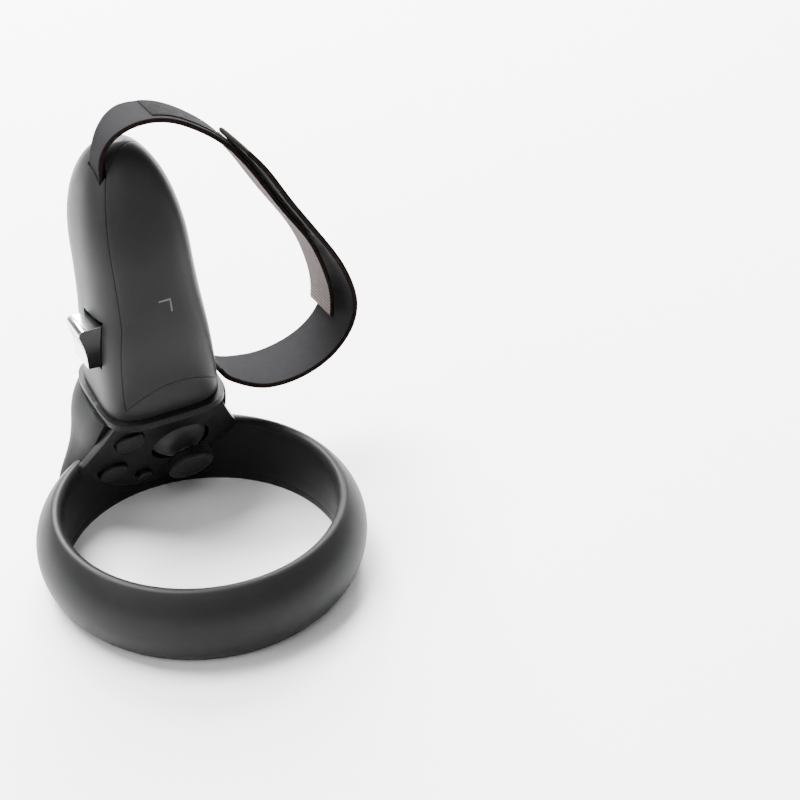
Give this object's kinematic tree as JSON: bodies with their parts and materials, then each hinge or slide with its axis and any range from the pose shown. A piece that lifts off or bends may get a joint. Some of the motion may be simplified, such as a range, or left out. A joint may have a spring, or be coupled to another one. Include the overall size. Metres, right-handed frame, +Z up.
{
  "type": "vr motion controller",
  "caption": "Left-hand motion controller: a hand grip with triggers and a knuckle strap over a sloping face of buttons and a thumbstick, ringed by a tracking hoop.",
  "frame": {"origin": "centre of the tracking ring's rest face, on the surface that the controller stands on", "axes": "+Z up along the ring's axis and the grip, +Y to the index trigger, -Y to the palm side, -X to the grip trigger, +X to the strap"},
  "size_m": [0.1188, 0.1134, 0.1324],
  "materials": {
    "ring_plastic": "satin charcoal, very fine grain",
    "liner_plastic": "near-black, infrared-clear satin",
    "body_plastic": "satin charcoal, very fine grain",
    "plate_plastic": "near-black satin",
    "button_plastic": "semi-gloss black",
    "stick_rubber": "soft black",
    "inner_plastic": "moulded dark grey",
    "trigger_gloss": "gloss black",
    "trigger_plastic": "satin black",
    "steel": "plain steel",
    "board": "green solder mask",
    "flex_film": "amber polyimide film",
    "sensor_black": "moulded black",
    "lamp_lens": "clear moulded lens",
    "magnet": "nickel plated",
    "cell_sleeve": "plain printed sleeve without marks",
    "strap_webbing": "mid-dark grey knit over foam",
    "hook_tape": "black hook tape"
  },
  "bodies": {
    "controller": {"battery_cell": "cell_sleeve", "battery_tray": "inner_plastic", "contact_plate": "steel", "contact_spring": "steel", "dome_switches": "steel", "face_plate": "plate_plastic", "grip_board": "board", "grip_flex": "flex_film", "grip_housing": "body_plastic", "grip_trigger_bracket": "inner_plastic", "grip_trigger_pin": "steel", "grip_trigger_spring": "steel", "haptic_motor": "steel", "head_housing": "body_plastic", "hook_patch": "hook_tape", "index_bracket": "inner_plastic", "index_hall_sensor": "sensor_black", "index_sensor_board": "board", "index_trigger_pin": "steel", "index_trigger_spring": "steel", "key_mat": "stick_rubber", "led_flex": "flex_film", "main_board": "board", "menu_key_mat": "stick_rubber", "neck_plate": "inner_plastic", "neck_screws": "steel", "radio_module": "steel", "ring_inner_frame": "liner_plastic", "ring_outer_cover": "ring_plastic", "squeeze_hall_sensor": "sensor_black", "stick_frame": "inner_plastic", "stick_sensor_left": "sensor_black", "stick_sensor_right": "sensor_black", "strap_anchor": "steel", "strap_collar": "body_plastic", "strap_lower": "strap_webbing", "strap_upper": "strap_webbing", "tracking_leds": "lamp_lens"},
    "x_button": {"x_button": "button_plastic"},
    "y_button": {"y_button": "button_plastic"},
    "menu_button": {"menu_button": "button_plastic"},
    "stick_carriage": {"stick_carriage": "inner_plastic", "centring_spring": "steel"},
    "gimbal": {"gimbal_ring": "inner_plastic"},
    "thumbstick": {"stick_stem": "inner_plastic", "stick_hub_pin": "steel", "thumbstick_cap": "stick_rubber"},
    "index_trigger": {"index_trigger": "trigger_plastic", "index_magnet": "magnet"},
    "grip_trigger": {"grip_trigger": "trigger_gloss", "grip_magnet": "magnet"},
    "battery_cover": {"battery_cover": "body_plastic", "cover_latch": "body_plastic"}
  },
  "joints": [
    {"name": "x_press", "type": "slide", "parent": "controller", "child": "x_button", "axis": [0, 0.8763, 0.4818], "range_m": [0, 0.001], "stiffness_N_per_m": 600, "springref_m": -0.0006},
    {"name": "y_press", "type": "slide", "parent": "controller", "child": "y_button", "axis": [0, 0.8763, 0.4818], "range_m": [0, 0.001], "stiffness_N_per_m": 600, "springref_m": -0.0006},
    {"name": "menu_press", "type": "slide", "parent": "controller", "child": "menu_button", "axis": [0, 0.8763, 0.4818], "range_m": [0, 0.001], "stiffness_N_per_m": 600, "springref_m": -0.0006},
    {"name": "stick_click", "type": "slide", "parent": "controller", "child": "stick_carriage", "axis": [0, 0.8763, 0.4818], "range_m": [0, 0.0004], "stiffness_N_per_m": 2000, "springref_m": -0.0005},
    {"name": "stick_sideways", "type": "hinge", "parent": "stick_carriage", "child": "gimbal", "pos_m": [0.007, 0.03738, 0.02661], "axis": [0, -0.4818, 0.8763], "range_deg": [-20, 20], "stiffness_Nm_per_rad": 0.06},
    {"name": "stick_up_down", "type": "hinge", "parent": "gimbal", "child": "thumbstick", "pos_m": [0.007, 0.03738, 0.02661], "axis": [1, 0, 0], "range_deg": [-20, 20], "stiffness_Nm_per_rad": 0.06},
    {"name": "index_pull", "type": "hinge", "parent": "controller", "child": "index_trigger", "pos_m": [0, 0.05, 0.0296], "axis": [1, 0, 0], "range_deg": [0, 15], "stiffness_Nm_per_rad": 0.15, "springref_deg": -5.73},
    {"name": "grip_squeeze", "type": "hinge", "parent": "controller", "child": "grip_trigger", "pos_m": [-0.0113, 0.033, 0.0581], "axis": [0, 1, 0], "range_deg": [0, 7], "stiffness_Nm_per_rad": 0.3, "springref_deg": -5.73},
    {"name": "cover_slide", "type": "slide", "parent": "controller", "child": "battery_cover", "axis": [0, 0, 1], "range_m": [0, 0.004]}
  ]
}
